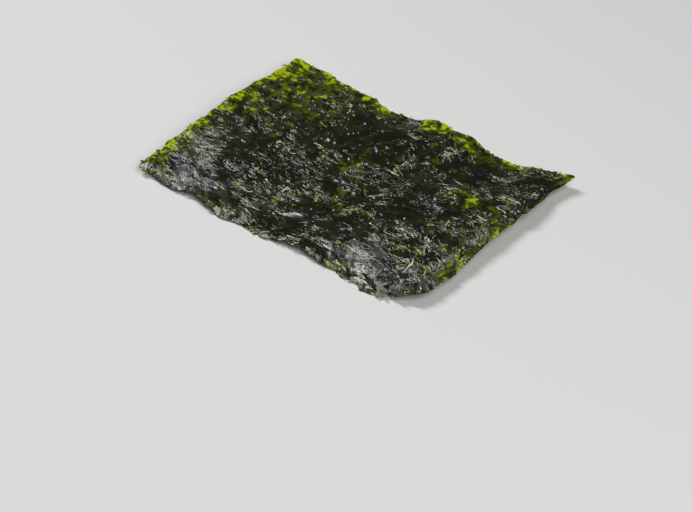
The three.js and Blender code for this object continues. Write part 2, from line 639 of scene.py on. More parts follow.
def mix_colour(tree, share, first, second):
    """Mixes two colours, given as sockets or as tuples, by a share that is a socket."""
    node = add_node(tree, "ShaderNodeMix", data_type="RGBA")
    sockets = {socket.identifier: socket for socket in node.inputs}
    tree.links.new(share, sockets["Factor_Float"])
    for key, value in (("A_Color", first), ("B_Color", second)):
        if isinstance(value, bpy.types.NodeSocket):
            tree.links.new(value, sockets[key])
        else:
            sockets[key].default_value = (*value, 1.0)
    return next(socket for socket in node.outputs if socket.identifier == "Result_Color")


def attribute(tree, name):
    """The numbers that a piece's vertices hold under a name."""
    return add_node(tree, "ShaderNodeAttribute", attribute_name=name).outputs["Fac"]


def bump(tree, height, distance, strength, before=None):
    """Bump of a height from 0 to 1 over a distance in metres, added to the bump before it."""
    inputs = {"Height": height, "Distance": distance, "Strength": strength}
    if before is not None:
        inputs["Normal"] = before
    return add_node(tree, "ShaderNodeBump", inputs).outputs["Normal"]


# Materials

# Least and most roughness of the oily sheet, of flakes, of film, of the torn fringe and of strands
SHEET_GLOSS = (0.13, 0.24)
FLAKE_GLOSS = (0.20, 0.34)
FILM_GLOSS = (0.26, 0.40)
FRINGE_GLOSS = (0.25, 0.45)
STRAND_GLOSS = (0.26, 0.45)
SALT_ROUGHNESS = 0.22
FLOOR_ROUGHNESS = 0.75

# Specular level of oiled leaf, and of thin leaf that shows its own colour more
OILED = 0.5
MATT = 0.25

# Share of the painted grey sheen that the sheet itself shows in the sheen places
SHEET_SHEEN = 0.20

# Squeeze of the coordinates along X, Y and Z, which draws the pattern out along the fibres
FIBRE_STRETCH = (0.60, 1.0, 1.0)


def laver_colour(tree, colours, where):
    """Colour of laver: brown, green or blue-black or a grey-green, then olive as it gets thinner, and lime, a
    painted glow of light shining through the thinnest leaf.
    """
    patches = ramp(tree, noise(tree, where, scale=0.25), low=0.42, high=0.64)
    base = mix_colour(tree, patches, colours.brown, colours.green)
    cast = ramp(tree, noise(tree, where, scale=0.34, detail=2.0), low=0.57, high=0.70)
    base = mix_colour(tree, cast, base, colours.slate)
    mottle = ramp(tree, noise(tree, where, scale=1.1), low=0.36, high=0.64, bottom=0.1, top=1.2)
    base = mix_colour(tree, product(tree, attribute(tree, "cool"), mottle), base, colours.teal)
    fleck = noise(tree, where, scale=0.5, detail=2.0, roughness=0.45, distortion=0.6)
    fleck = ramp(tree, fleck, low=0.34, high=0.66, bottom=0.36, top=1.30)
    thin = product(tree, attribute(tree, "thin"), fleck)
    colour = mix_colour(tree, ramp(tree, thin, low=0.10, high=0.38), base, colours.olive)
    # Lime is painted light: the glow of light shining through the thinnest leaf
    return mix_colour(tree, ramp(tree, thin, low=0.40, high=0.88), colour, colours.lime)


def laver_roughness(tree, where, gloss):
    """Unevenly oily laver."""
    return ramp(tree, noise(tree, where, scale=0.4), 0.3, 0.7, *gloss)


def sheen_colour(tree, colours, where):
    """The uneven grey of a painted sheen, which stands for light reflected from smooth leaf."""
    light = ramp(tree, noise(tree, where, scale=0.6, detail=2.0), low=0.36, high=0.66)
    return mix_colour(tree, light, colours.milky, colours.film)


def link_shader(tree, shader, colour, roughness, normal):
    """Leads a colour, a roughness and a bump into the shader."""
    tree.links.new(colour, shader.inputs["Base Color"])
    tree.links.new(roughness, shader.inputs["Roughness"])
    tree.links.new(normal, shader.inputs["Normal"])


def sheet_material(colours):
    """The pressed sheet: dark, oily and creased like tissue, with a grey sheen of reflected light painted on
    in places.
    """
    material, tree, shader = new_material("laver sheet")
    where = plan_coordinates(tree)
    fibres = plan_coordinates(tree, FIBRE_STRETCH)
    leaf = noise(tree, where, scale=0.30, detail=1.0, roughness=0.4, distortion=0.8)
    # Painted sheen: grey reflected light painted over the laver colour in the sheen places
    sheen_share = product(tree, ramp(tree, leaf, low=0.42, high=0.60, top=SHEET_SHEEN), attribute(tree, "milky"))
    colour = mix_colour(tree, sheen_share, laver_colour(tree, colours, where), sheen_colour(tree, colours, where))
    creases = fold_lines(tree, noise(tree, fibres, scale=0.75, detail=2.0, roughness=0.5, distortion=0.8))
    creases = product(tree, creases, attribute(tree, "creased"))
    normal = bump(tree, creases, distance=0.70 * MM, strength=0.75)
    grain = noise(tree, fibres, scale=2.2, detail=1.0, roughness=0.5)
    normal = bump(tree, grain, distance=0.08 * MM, strength=0.4, before=normal)
    link_shader(tree, shader, colour, laver_roughness(tree, where, SHEET_GLOSS), normal)
    return material


def scrap_material(name, colours, gloss, sheen):
    """Flakes, scraps and strands: laver of their own thinness, with a painted grey sheen in the sheen places,
    or dry and pale.
    """
    material, tree, shader = new_material(name)
    where = plan_coordinates(tree)
    milky = attribute(tree, "milky")
    # Painted sheen: grey reflected light painted over the laver in the sheen places
    colour = mix_colour(tree, milky, laver_colour(tree, colours, where), sheen_colour(tree, colours, where))
    dry = mix_colour(tree, attribute(tree, "cool"), colours.pale, colours.mist)
    # Dry threads in the painted sheen take the frost colour, a painted reflection
    dry = mix_colour(tree, milky, dry, colours.frost)
    colour = mix_colour(tree, attribute(tree, "pale"), colour, dry)
    grain = noise(tree, where, scale=1.8, detail=1.5, roughness=0.5, distortion=0.5)
    normal = bump(tree, grain, distance=0.12 * MM, strength=0.5)
    link_shader(tree, shader, colour, laver_roughness(tree, where, gloss), normal)
    shader.inputs["Specular IOR Level"].default_value = sheen
    return material


def salt_material(colours):
    """Salt, clear in some places and white in others."""
    material, tree, shader = new_material("salt")
    white = ramp(tree, noise(tree, plan_coordinates(tree), scale=2.0, detail=2.0), low=0.35, high=0.65)
    colour = mix_colour(tree, white, colours.clear_salt, colours.white_salt)
    tree.links.new(colour, shader.inputs["Base Color"])
    shader.inputs["Roughness"].default_value = SALT_ROUGHNESS
    return material


def floor_material(colour):
    material, _, shader = new_material("floor")
    shader.inputs["Base Color"].default_value = (*colour, 1.0)
    shader.inputs["Roughness"].default_value = FLOOR_ROUGHNESS
    return material


# The sheet

# Vertex group of the relief and how much of the relief the calm places lose
RELIEF = "relief"
RELIEF_CALM = 0.75

# Sizes of the wrinkles and of the fibre ridges along X, Y and Z
WRINKLE_SIZE = (3.4 * MM, 2.2 * MM, 3 * MM)
FIBRE_SIZE = (3.0 * MM, 1.1 * MM, 2 * MM)

# Vertices of the CAD node that are nearer than this are one
SAME_PLACE = 0.001 * MM

# Depth of the creases between the clumps and in them, and how much of it is taken away where the grey sheen
# is painted
CREASE_PLAIN = 0.35
CREASE_CLUMPS = 0.75
CREASE_SHEEN = 0.6


def plan_places(obj):
    """Places of an object's vertices, as rows of three."""
    places = np.empty(len(obj.data.vertices) * 3, np.float32)
    obj.data.vertices.foreach_get("co", places)
    return places.reshape(-1, 3)


def weigh_relief(obj):
    """Adds the vertex group by which the relief is lower in the calm places."""
    places = plan_places(obj)
    weights = 1 - RELIEF_CALM * oval_share(places[:, 0], places[:, 1], CALM_PLACES)
    group = obj.vertex_groups.new(name=RELIEF)
    for index, weight in enumerate(weights):
        group.add([index], float(weight), "REPLACE")


def wrinkle_texture():
    """Soft clouds for the wrinkles."""
    texture = bpy.data.textures.new("wrinkles", "CLOUDS")
    texture.noise_depth = 2
    texture.noise_scale = 1.0
    return texture


def fibre_texture():
    """Sharp ridges for the fibres."""
    texture = bpy.data.textures.new("fibres", "MUSGRAVE")
    texture.musgrave_type = "RIDGED_MULTIFRACTAL"
    texture.octaves = 3
    texture.gain = 1.6
    texture.noise_intensity = 0.5
    texture.noise_scale = 1.0
    return texture


def displace(obj, texture, height, size):
    """Adds a Displace modifier that moves both faces up and down together, and gives the empty it reads."""
    ruler = bpy.data.objects.new(texture.name, None)
    bpy.context.scene.collection.objects.link(ruler)
    ruler.scale = size
    bpy.context.view_layer.update()
    modifier = obj.modifiers.new(texture.name, "DISPLACE")
    modifier.texture = texture
    modifier.texture_coords = "OBJECT"
    modifier.texture_coords_object = ruler
    modifier.direction = "Z"
    modifier.mid_level = 0.5
    modifier.strength = height
    modifier.vertex_group = RELIEF
    return ruler


class NORI_OT_sheet(bpy.types.Operator):
    """Copies the CAD sheet, refines it and adds wrinkles and fibre ridges"""

    bl_idname = "nori.sheet"
    bl_label = "Laver Sheet"

    def execute(self, context):
        settings = context.scene.nori
        sheet = new_piece(SHEET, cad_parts[NODE].data.copy())
        bpy.ops.object.mode_set(mode="EDIT")
        bpy.ops.mesh.select_all(action="SELECT")
        bpy.ops.mesh.remove_doubles(threshold=SAME_PLACE)
        bpy.ops.mesh.tris_convert_to_quads()
        bpy.ops.object.mode_set(mode="OBJECT")
        smooth = sheet.modifiers.new("refine", "SUBSURF")
        smooth.levels = smooth.render_levels = settings.sheet.refine
        apply_modifiers(sheet)
        weigh_relief(sheet)
        rulers = [
            displace(sheet, wrinkle_texture(), settings.sheet.wrinkle_height, WRINKLE_SIZE),
            displace(sheet, fibre_texture(), settings.sheet.fibre_height, FIBRE_SIZE),
        ]
        apply_modifiers(sheet)
        for ruler in rulers:
            bpy.data.objects.remove(ruler)
        places = plan_places(sheet)
        places[:, 2] = np.maximum(places[:, 2], 0)
        sheet.data.vertices.foreach_set("co", places.ravel())
        x, y = places[:, 0], places[:, 1]
        # Where a grey sheen of reflected light is painted on the sheet
        milky = oval_share(x, y, SHEEN_PLACES)
        calm = oval_share(x, y, CALM_PLACES)
        creased = np.clip(1 - CREASE_SHEEN * milky - calm, 0, 1)
        creased = creased * (CREASE_PLAIN + CREASE_CLUMPS * clumped(x, y, "clumps"))
        values = {"thin": thinness(x, y), "cool": coolness(x, y), "milky": milky, "creased": creased}
        set_point_values(sheet.data, values)
        dress(sheet, sheet_material(settings.colours))
        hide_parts(NODE)
        return {"FINISHED"}


# Flakes and scraps

FLAKE_SIDES = 12

# Rings of a flake's upper face: their share of its outline, and their share of its thickness
FLAKE_RINGS = ((0.8, 1.0), (1.0, 0.2))

# How far the outline goes in and out, as a share of the size, how uneven the lifted side is, and how much
# of that goes down
RAGGED = 0.45
CRUMPLED = 0.35
CRUMPLED_DOWN = 0.4

# Height of a flake's middle over the sheet, depth of its underside in thicknesses, and the lowest place
# over the table
CLEARANCE = 0.05 * MM
UNDER_DEPTH = 1.6
LOWEST = 0.02 * MM

# Flakes: share that follows the grain, spread of their sizes, their width as a share of their length,
# their thickness in millimetres, how few lift far, and the most of the usual lift
FLAKE_ALONG = 0.6
FLAKE_SPREAD = 0.4
FLAKE_WIDTH = (0.25, 0.7)
FLAKE_THICKNESS = (0.04, 0.09)
LIFT_POWER = 1.5
LIFT_MOST = 1.6

# The grain swings from side to side of its own direction, and single fibres scatter about it
GRAIN_SWING = 1.2
GRAIN_TURN = -0.2
GRAIN_SCATTER = 0.22


def flake_faces():
    """Triangles of one flake: a domed upper face of two rings and a fan under it, sharing the outline."""
    inner = [1 + k for k in range(FLAKE_SIDES)]
    outer = [1 + FLAKE_SIDES + k for k in range(FLAKE_SIDES)]
    under = 1 + 2 * FLAKE_SIDES
    faces = []
    for k in range(FLAKE_SIDES):
        n = (k + 1) % FLAKE_SIDES
        faces.append((0, inner[k], inner[n]))
        faces.append((inner[k], outer[k], outer[n]))
        faces.append((inner[k], outer[n], inner[n]))
        faces.append((under, outer[n], outer[k]))
    return faces


def flake_points(rng, top, x, y, turn, half, narrow, lift, thickness):
    """Vertices of leaf flakes that lie on the sheet, each with a ragged outline and one lifted side.

    Also gives how far the outline stands up at each vertex, from 0 to 1.
    """
    count = len(x)
    angle = np.arange(FLAKE_SIDES) / FLAKE_SIDES * 2 * math.pi
    ragged = 1 + RAGGED * (rng.random((count, FLAKE_SIDES)) - 0.5) * 2
    loose = rng.random((count, 1)) * 2 * math.pi
    stand = 0.5 + 0.5 * np.cos(angle[None] - loose)
    across = half[:, None] * ragged * np.cos(angle)[None]
    along = half[:, None] * narrow[:, None] * ragged * np.sin(angle)[None]
    cos, sin = np.cos(turn)[:, None], np.sin(turn)[:, None]
    out_x = across * cos - along * sin
    out_y = across * sin + along * cos
    rings = [np.stack([x, y, top.height(x, y) + CLEARANCE + thickness], axis=-1)[:, None]]
    for share, body in FLAKE_RINGS:
        ring_x = x[:, None] + out_x * share
        ring_y = y[:, None] + out_y * share
        crumple = (rng.random((count, FLAKE_SIDES)) - CRUMPLED_DOWN) * CRUMPLED
        rise = lift[:, None] * share ** 2 * np.clip(stand + crumple, 0, None)
        level = CLEARANCE * (1 - share ** 2) + thickness[:, None] * body
        rings.append(np.stack([ring_x, ring_y, top.height(ring_x, ring_y) + level + rise], axis=-1))
    under = rings[0].copy()
    under[..., 2] -= CLEARANCE + UNDER_DEPTH * thickness[:, None]
    flat = np.zeros((count, 1 + FLAKE_SIDES))
    return np.concatenate([*rings, under], axis=1), np.concatenate([flat, stand, flat[:, :1]], axis=1)


def keep_inside(rng, top, count, inset):
    """Random places on the sheet, at least the inset away from the CAD box's sides."""
    x = np.empty(0)
    y = np.empty(0)
    while len(x) < count:
        try_x = rng.uniform(-HALF_LENGTH + inset, HALF_LENGTH - inset, count)
        try_y = rng.uniform(-HALF_WIDTH + inset, HALF_WIDTH - inset, count)
        good = top.inside(try_x, try_y)
        x = np.concatenate([x, try_x[good]])
        y = np.concatenate([y, try_y[good]])
    return x[:count], y[:count]


def likely_places(rng, top, count, chance, tries, inset):
    """Random places on the sheet that are kept by their chance, from some number of tries for each."""
    x, y = keep_inside(rng, top, count * tries, inset)
    kept = rng.random(len(x)) < chance(x, y)
    return x[kept][:count], y[kept][:count]


def grain_turn(rng, x, y, along):
    """Directions of fibres: most follow the sheet's grain, which wanders, and the rest lie any way."""
    swirl = (smooth_field(x, y, "swirl") - 0.5) * GRAIN_SWING + GRAIN_TURN
    straight = swirl + rng.normal(0, GRAIN_SCATTER, len(x))
    free = rng.uniform(-math.pi / 2, math.pi / 2, len(x))
    return np.where(rng.random(len(x)) < along, straight, free)


def lay_flakes(
        name, settings, colours, rng, top, x, y, thin,
        sheen_share=0.0, dry=0.0, grow=1.0, gloss=FLAKE_GLOSS, sheen=OILED):
    """Makes one piece of many flakes at these places, pale along their lifted edges or dry all over, and with
    some share of painted grey sheen.
    """
    count = len(x)
    turn = grain_turn(rng, x, y, FLAKE_ALONG)
    half = settings.size * grow * rng.lognormal(0, FLAKE_SPREAD, count)
    narrow = rng.uniform(*FLAKE_WIDTH, count)
    lift = settings.lift * rng.random(count) ** LIFT_POWER * LIFT_MOST
    thickness = rng.uniform(*FLAKE_THICKNESS, count) * MM
    points, stand = flake_points(rng, top, x, y, turn, half, narrow, lift, thickness)
    points[..., 2] = np.maximum(points[..., 2], LOWEST)
    thin = np.clip(thin, 0, 1)[:, None]
    broken = rng.random((count, 1)) * rng.random(stand.shape)
    pale = np.maximum(stand ** 3 * broken * (1 - thin) ** 3, dry)
    # The sheen value is the share of grey reflected light painted on the flakes
    values = {"thin": thin, "pale": pale, "cool": coolness(x, y)[:, None], "milky": sheen_share}
    mesh = scatter_mesh(name, points, flake_faces(), values)
    dress(new_piece(name, mesh), scrap_material(name, colours, gloss, sheen))


class NORI_OT_flakes(bpy.types.Operator):
    """Lays thin flakes of leaf on the sheet"""

    bl_idname = "nori.flakes"
    bl_label = "Leaf Flakes"

    # Thinness of a flake as a share of the sheet's
    THIN = (0.6, 1.2)

    def execute(self, context):
        settings = context.scene.nori
        flakes = settings.flakes
        rng = np.random.default_rng(flakes.seed)
        top = SheetTop(SHEET)
        x, y = keep_inside(rng, top, flakes.count, inset=1.5 * MM)
        thin = thinness(x, y) * rng.uniform(*self.THIN, flakes.count)
        lay_flakes(FLAKES, flakes, settings.colours, rng, top, x, y, thin)
        return {"FINISHED"}


# Flecks: the share that lies anywhere, and the share that lies where the laver is thinnest
FLECK_STRAY = 0.004
FLECK_DENSE = 1.2


def flecked(x, y):
    """How likely a fleck is at a place."""
    return FLECK_STRAY + FLECK_DENSE * thinness(x, y) ** 2


class NORI_OT_flecks(bpy.types.Operator):
    """Lays small flecks of leaf in the thin places, painted bright as light shining through them"""

    bl_idname = "nori.flecks"
    bl_label = "Leaf Flecks"

    # Thinness of a fleck: the least, and a share of the sheet's that varies
    THIN_LEAST = 0.2
    THIN_MORE = 0.7
    THIN = (0.4, 1.2)

    def execute(self, context):
        settings = context.scene.nori
        flecks = settings.flecks
        rng = np.random.default_rng(flecks.seed)
        top = SheetTop(SHEET, FLAKES)
        x, y = likely_places(rng, top, flecks.count, flecked, tries=12, inset=1.0 * MM)
        thin = self.THIN_LEAST + self.THIN_MORE * thinness(x, y) * rng.uniform(*self.THIN, len(x))
        lay_flakes("laver_flecks", flecks, settings.colours, rng, top, x, y, thin, sheen=MATT)
        return {"FINISHED"}


# Film: how steeply the painted sheen is cut off for it, and where, and its distance from the left of the CAD
# box
FILM_SLOPE = 1.4
FILM_CUT = 0.4
FILM_LEFT = 7 * MM


def filmy(x, y):
    """How likely a piece of film is at a place: in clumps, in the middle of the painted sheen."""
    milky = np.clip(FILM_SLOPE * oval_share(x, y, SHEEN_PLACES) - FILM_CUT, 0, 1)
    clear = x > -HALF_LENGTH + FILM_LEFT
    return milky * clumped(x, y, "film clumps") * (1 - thinness(x, y)) ** 2 * clear


class NORI_OT_film(bpy.types.Operator):
    """Lays larger pieces of smooth leaf, painted with a grey sheen of reflected light, along the near side"""

    bl_idname = "nori.film"
    bl_label = "Leaf Film"

    # Painted sheen of a piece: the most, how few have much of it, and what there is outside the sheen places
    SHEEN_MOST = 0.6
    SHEEN_POWER = 1.4
    SHEEN_LEAST = 0.3

    def execute(self, context):
        settings = context.scene.nori
        film = settings.film
        rng = np.random.default_rng(film.seed)
        top = SheetTop(SHEET)
        x, y = likely_places(rng, top, film.count, filmy, tries=60, inset=3.2 * MM)
        sheen_share = self.SHEEN_MOST * rng.random((len(x), 1)) ** self.SHEEN_POWER
        sheen_share = sheen_share * np.clip(self.SHEEN_LEAST + oval_share(x, y, SHEEN_PLACES), 0, 1)[:, None]
        thin = np.zeros(len(x))
        lay_flakes(FILM, film, settings.colours, rng, top, x, y, thin, sheen_share=sheen_share, gloss=FILM_GLOSS)
        return {"FINISHED"}


# Side faces of the sheet have normals this flat or flatter, and lie within this distance of the CAD box
RIM_STEEPNESS = 0.6
RIM_DEPTH = 4 * MM


def rim_places(sheet):
    """Middles of the sheet's narrow side faces."""
    count = len(sheet.data.polygons)
    normals = np.empty(count * 3, np.float32)
    centres = np.empty(count * 3, np.float32)
    sheet.data.polygons.foreach_get("normal", normals)
    sheet.data.polygons.foreach_get("center", centres)
    steep = np.abs(normals.reshape(-1, 3)[:, 2]) < RIM_STEEPNESS
    places = centres.reshape(-1, 3)[steep].astype(float)
    far_x = np.abs(places[:, 0]) > HALF_LENGTH - RIM_DEPTH
    far_y = np.abs(places[:, 1]) > HALF_WIDTH - RIM_DEPTH
    return places[far_x | far_y]


class NORI_OT_tatters(bpy.types.Operator):
    """Hangs torn leaf over the near edge, pale partly as dry leaf and partly as a painted highlight"""

    bl_idname = "nori.tatters"
    bl_label = "Torn Leaf"

    # Distance kept from the left end, and how far in from the edge a piece has its middle, in millimetres
    LEFT = 9 * MM
    INSET = (0.2, 1.0)
    THIN_MOST = 0.22
    # How dry and pale a piece is, partly as dry leaf and partly as a painted highlight of the lit edge, how
    # much drier and larger it is in the torn places, and how few are dry
    DRY = 0.8
    DRY_TORN = 0.5
    DRY_MOST = 0.9
    DRY_POWER = 1.5
    GROW_TORN = 1.6

    def execute(self, context):
        settings = context.scene.nori
        tatters = settings.tatters
        rng = np.random.default_rng(tatters.seed)
        top = SheetTop(SHEET)
        edge = rim_places(bpy.data.objects[SHEET])
        near = edge[:, 1] < -HALF_WIDTH + NEAR_EDGE
        edge = edge[near & (edge[:, 0] > -HALF_LENGTH + self.LEFT)]
        edge = edge[rng.random(len(edge)) < smooth_field(edge[:, 0], edge[:, 1], "tatters") ** 2]
        chosen = edge[rng.integers(0, len(edge), tatters.count)]
        x = chosen[:, 0]
        y = chosen[:, 1] + rng.uniform(*self.INSET, tatters.count) * MM
        thin = rng.uniform(0, self.THIN_MOST, len(x))
        torn = oval_share(x, y, TORN_PLACES)
        dry = rng.random((len(x), 1)) ** self.DRY_POWER * (self.DRY + self.DRY_TORN * torn[:, None])
        dry = np.clip(dry, 0, self.DRY_MOST)
        grow = 1 + self.GROW_TORN * torn
        lay_flakes("laver_tatters", tatters, settings.colours, rng, top, x, y, thin, dry=dry, grow=grow)
        return {"FINISHED"}


class NORI_OT_fringe(bpy.types.Operator):
    """Sets torn scraps of leaf along the cut edges"""

    bl_idname = "nori.fringe"
    bl_label = "Torn Fringe"

    # How far inside the edge the scraps have their middles, and how far they are sunk in it
    INSET = 0.5 * MM
    SINK = 0.1 * MM
    # Spread of their sizes, their width as a share of their length, their lift and thickness in millimetres
    SPREAD = 0.35
    WIDTH = (0.35, 0.8)
    LIFT = 0.12
    THICKNESS = (0.05, 0.10)
    # Thinness of a scrap: the least, a share of the sheet's, and the most at the near edge
    THIN_LEAST = 0.2
    THIN = (0.5, 1.2)
    THIN_NEAR = 0.3

    def execute(self, context):
        settings = context.scene.nori
        fringe = settings.fringe
        count = fringe.count
        rng = np.random.default_rng(fringe.seed)
        top = SheetTop(SHEET)
        edge = rim_places(bpy.data.objects[SHEET])
        chosen = edge[rng.integers(0, len(edge), count)]
        x = chosen[:, 0] * (1 - self.INSET / HALF_LENGTH)
        y = chosen[:, 1] * (1 - self.INSET / HALF_WIDTH)
        turn = rng.uniform(-math.pi, math.pi, count)
        half = fringe.size * rng.lognormal(0, self.SPREAD, count)
        narrow = rng.uniform(*self.WIDTH, count)
        lift = rng.normal(0, self.LIFT, count) * MM
        thickness = rng.uniform(*self.THICKNESS, count) * MM
        points, _ = flake_points(rng, top, x, y, turn, half, narrow, lift, thickness)
        points[..., 2] = np.maximum(points[..., 2] - self.SINK, LOWEST)
        thin = np.clip(self.THIN_LEAST + thinness(x, y) * rng.uniform(*self.THIN, count), 0, 1)
        thin = np.where(y < -HALF_WIDTH + NEAR_EDGE, np.minimum(thin, self.THIN_NEAR), thin)
        mesh = scatter_mesh("laver_fringe", points, flake_faces(), {"thin": thin[:, None], "pale": 0.0})
        material = scrap_material("torn fringe", settings.colours, FRINGE_GLOSS, MATT)
        dress(new_piece("laver_fringe", mesh), material)
        return {"FINISHED"}


# Strands

# Rings of vertices along a strand, and the vertices of each
STATIONS = 5
SIDES = 3

# Share of the strands, and of the combed ones, that the thinnest places lose
STRANDS_LOST = 0.7
COMBED_LOST = 0.8

# Spread of the directions in a family, of the lengths and of the widths
STRAND_SCATTER = 0.16
LENGTH_SPREAD = 0.5
WIDTH_SPREAD = 0.35

# How strands bend, which share of them is strongly curled and how much, and how far and often they waver
CURL = 0.45
CURLED_SHARE = 0.10
STRONG_CURL = 1.8
WAVER = 0.22
WAVER_TURNS = 2
WAVER_PHASE = 6

# Unevenness of the width, narrowest taper at the ends, and height of the ridge as a share of the width
UNEVEN = (0.6, 1.2)
TAPER_LEAST = 0.05
RIDGE_LEAST = 0.04
RIDGE_MORE = 0.24

# Lift of the ends, how far the low point lies from the middle, the tilt, and how far aside the ridge is
END_LIFT = 0.25 * MM
LOW_POINT = 0.3
ROLL = 0.30
RIDGE_ASIDE = 0.5

# Combed strands lean off the grain by a share that grows from the left end to the right
LEAN_SLOPE = 1.4
LEAN_LEFT = -0.5


def strand_faces():
    """Triangles of one strand: a three-sided tube with a point at each end."""
    first = 1
    last = 1 + STATIONS * SIDES
    faces = []
    for side in range(SIDES):
        following = (side + 1) % SIDES
        faces.append((0, first + following, first + side))
        for station in range(STATIONS - 1):
            here = first + station * SIDES
            ahead = here + SIDES
            faces.append((here + side, here + following, ahead + side))
            faces.append((here + following, ahead + following, ahead + side))
        end = first + (STATIONS - 1) * SIDES
        faces.append((last, end + side, end + following))
    return faces


def tangled(x, y):
    """How likely a family of strands is at a place: in clumps, and fewer in the smooth and thin places."""
    smooth = oval_share(x, y, SMOOTH_PLACES)
    return clumped(x, y, "clumps") * (1 - smooth) * (1 - STRANDS_LOST * thinness(x, y))


def combed(x, y):
    """How likely a family of combed strands is at a place."""
    share = oval_share(x, y, COMBED_PLACES)
    return share * clumped(x, y, "combed clumps") * (1 - COMBED_LOST * thinness(x, y))


def strand_places(rng, top, count, family, spread, along, chance):
    """Places and directions of strands that lie in families, side by side."""
    x, y = likely_places(rng, top, count // family + 1, chance, tries=40, inset=1.2 * MM)
    turn = grain_turn(rng, x, y, along)
    x, y, turn = (np.repeat(value, family) for value in (x, y, turn))
    x = x + rng.normal(0, spread, len(x))
    y = y + rng.normal(0, spread, len(y))
    turn = turn + rng.normal(0, STRAND_SCATTER, len(turn))
    good = top.inside(x, y)
    return x[good], y[good], turn[good]


def strand_points(rng, top, x, y, turn, length, width):
    """Vertices of strands that follow the sheet as low, uneven roofs, bent, tapered and a little lifted."""
    count = len(x)
    share = np.linspace(-0.5, 0.5, STATIONS + 2)
    curl = rng.normal(0, CURL, count)
    curl = curl + (rng.random(count) < CURLED_SHARE) * rng.uniform(-STRONG_CURL, STRONG_CURL, count)
    waver = rng.normal(0, WAVER, (count, 1))
    waver = waver * np.sin(share * WAVER_TURNS * 2 * math.pi + rng.random((count, 1)) * WAVER_PHASE)
    heading = turn[:, None] + curl[:, None] * share[None] + waver
    step = length[:, None] / (STATIONS + 1)
    track_x = np.cumsum(np.cos(heading) * step, axis=1)
    track_y = np.cumsum(np.sin(heading) * step, axis=1)
    track_x += x[:, None] - track_x.mean(axis=1, keepdims=True)
    track_y += y[:, None] - track_y.mean(axis=1, keepdims=True)
    uneven = rng.uniform(*UNEVEN, (count, STATIONS + 2))
    taper = np.sqrt(np.clip(1 - (2 * share) ** 4, TAPER_LEAST, 1))[None] * uneven
    half = width[:, None] / 2 * taper
    ridge = width[:, None] * (RIDGE_LEAST + RIDGE_MORE * rng.random((count, 1)) ** 2) * taper
    ends = (2 * np.abs(share[None] + rng.uniform(-LOW_POINT, LOW_POINT, (count, 1)))) ** 2
    lift = rng.random((count, 1)) ** 3 * END_LIFT * ends
    roll = rng.normal(0, ROLL, (count, 1)) * half
    aside = rng.uniform(-RIDGE_ASIDE, RIDGE_ASIDE, (count, 1)) * half
    side_x, side_y = -np.sin(heading), np.cos(heading)
    lines = []
    for offset, rise in ((half, roll), (aside, ridge), (-half, -roll)):
        line_x = track_x + side_x * offset
        line_y = track_y + side_y * offset
        lines.append(np.stack([line_x, line_y, top.height(line_x, line_y) + lift + rise], axis=-1))
    body = np.stack(lines, axis=2)
    start = lines[1][:, :1]
    finish = lines[1][:, -1:]
    return np.concatenate([start, body[:, 1:-1].reshape(count, -1, 3), finish], axis=1)


# How thin strands are: by a share of what lies under them, and in leafy patches by an amount from a range
THIN_UNDER = 0.85
THIN_USUAL = 0.05
THIN_MOST = 0.95
LEAFY_LIMIT = 0.64
GREEN = (0.25, 0.65)

# Strands that are dry: above a limit, more in the dry regions and cool places and less in the calm ones
DRY_LIMIT = 0.73
DRY_REGIONS = 0.35
DRY_COOL = 0.36
DRY_CALM = 0.2
DRY_REST = 0.2

# How few of the dry strands are bright, how many more in the cool places, and how the painted grey sheen
# covers strands
BRIGHT_POWER = 0.9
BRIGHT_COOL = 0.5
SHEEN_SLOPE = 1.3
SHEEN_CUT = 0.2
SHEEN_RANGE = (0.5, 1.0)

# Scatter of single strands about the field that they follow
STRAND_NOISE = 0.08


def strand_values(rng, x, y, dry):
    """How thin, pale and cool each strand is, and how much painted grey sheen it has."""
    count = len(x)
    under = thinness(x, y)
    coolest = coolness(x, y)
    leafy = smooth_field(x, y, "leafy patches") + rng.normal(0, STRAND_NOISE, count)
    green = np.where(leafy > LEAFY_LIMIT, rng.uniform(*GREEN, count), 0.0)
    thin = np.clip(THIN_UNDER * under + green + rng.normal(THIN_USUAL, STRAND_NOISE, count), 0, THIN_MOST)
    cool = np.clip(coolest + smooth_field(x, y, "cool strands") ** 2, 0, 1)
    dryness = dry + smooth_field(x, y, "dry patches") + rng.normal(0, STRAND_NOISE, count)
    dryness += DRY_REGIONS * smooth_field(x, y, "dry regions") + DRY_COOL * coolest
    dryness -= DRY_CALM * oval_share(x, y, CALM_PLACES)
    bright = rng.random(count) ** (BRIGHT_POWER - BRIGHT_COOL * coolest)
    pale = np.where(dryness > DRY_LIMIT, bright, DRY_REST * rng.random(count) ** 2) * (1 - under) ** 2
    # Share of painted grey sheen, which stands for reflected light
    milky = np.clip(SHEEN_SLOPE * oval_share(x, y, SHEEN_PLACES) - SHEEN_CUT, 0, 1)
    milky = milky * rng.uniform(*SHEEN_RANGE, count)
    values = {"thin": thin, "pale": pale, "cool": cool, "milky": milky}
    return {name: value[:, None] for name, value in values.items()}


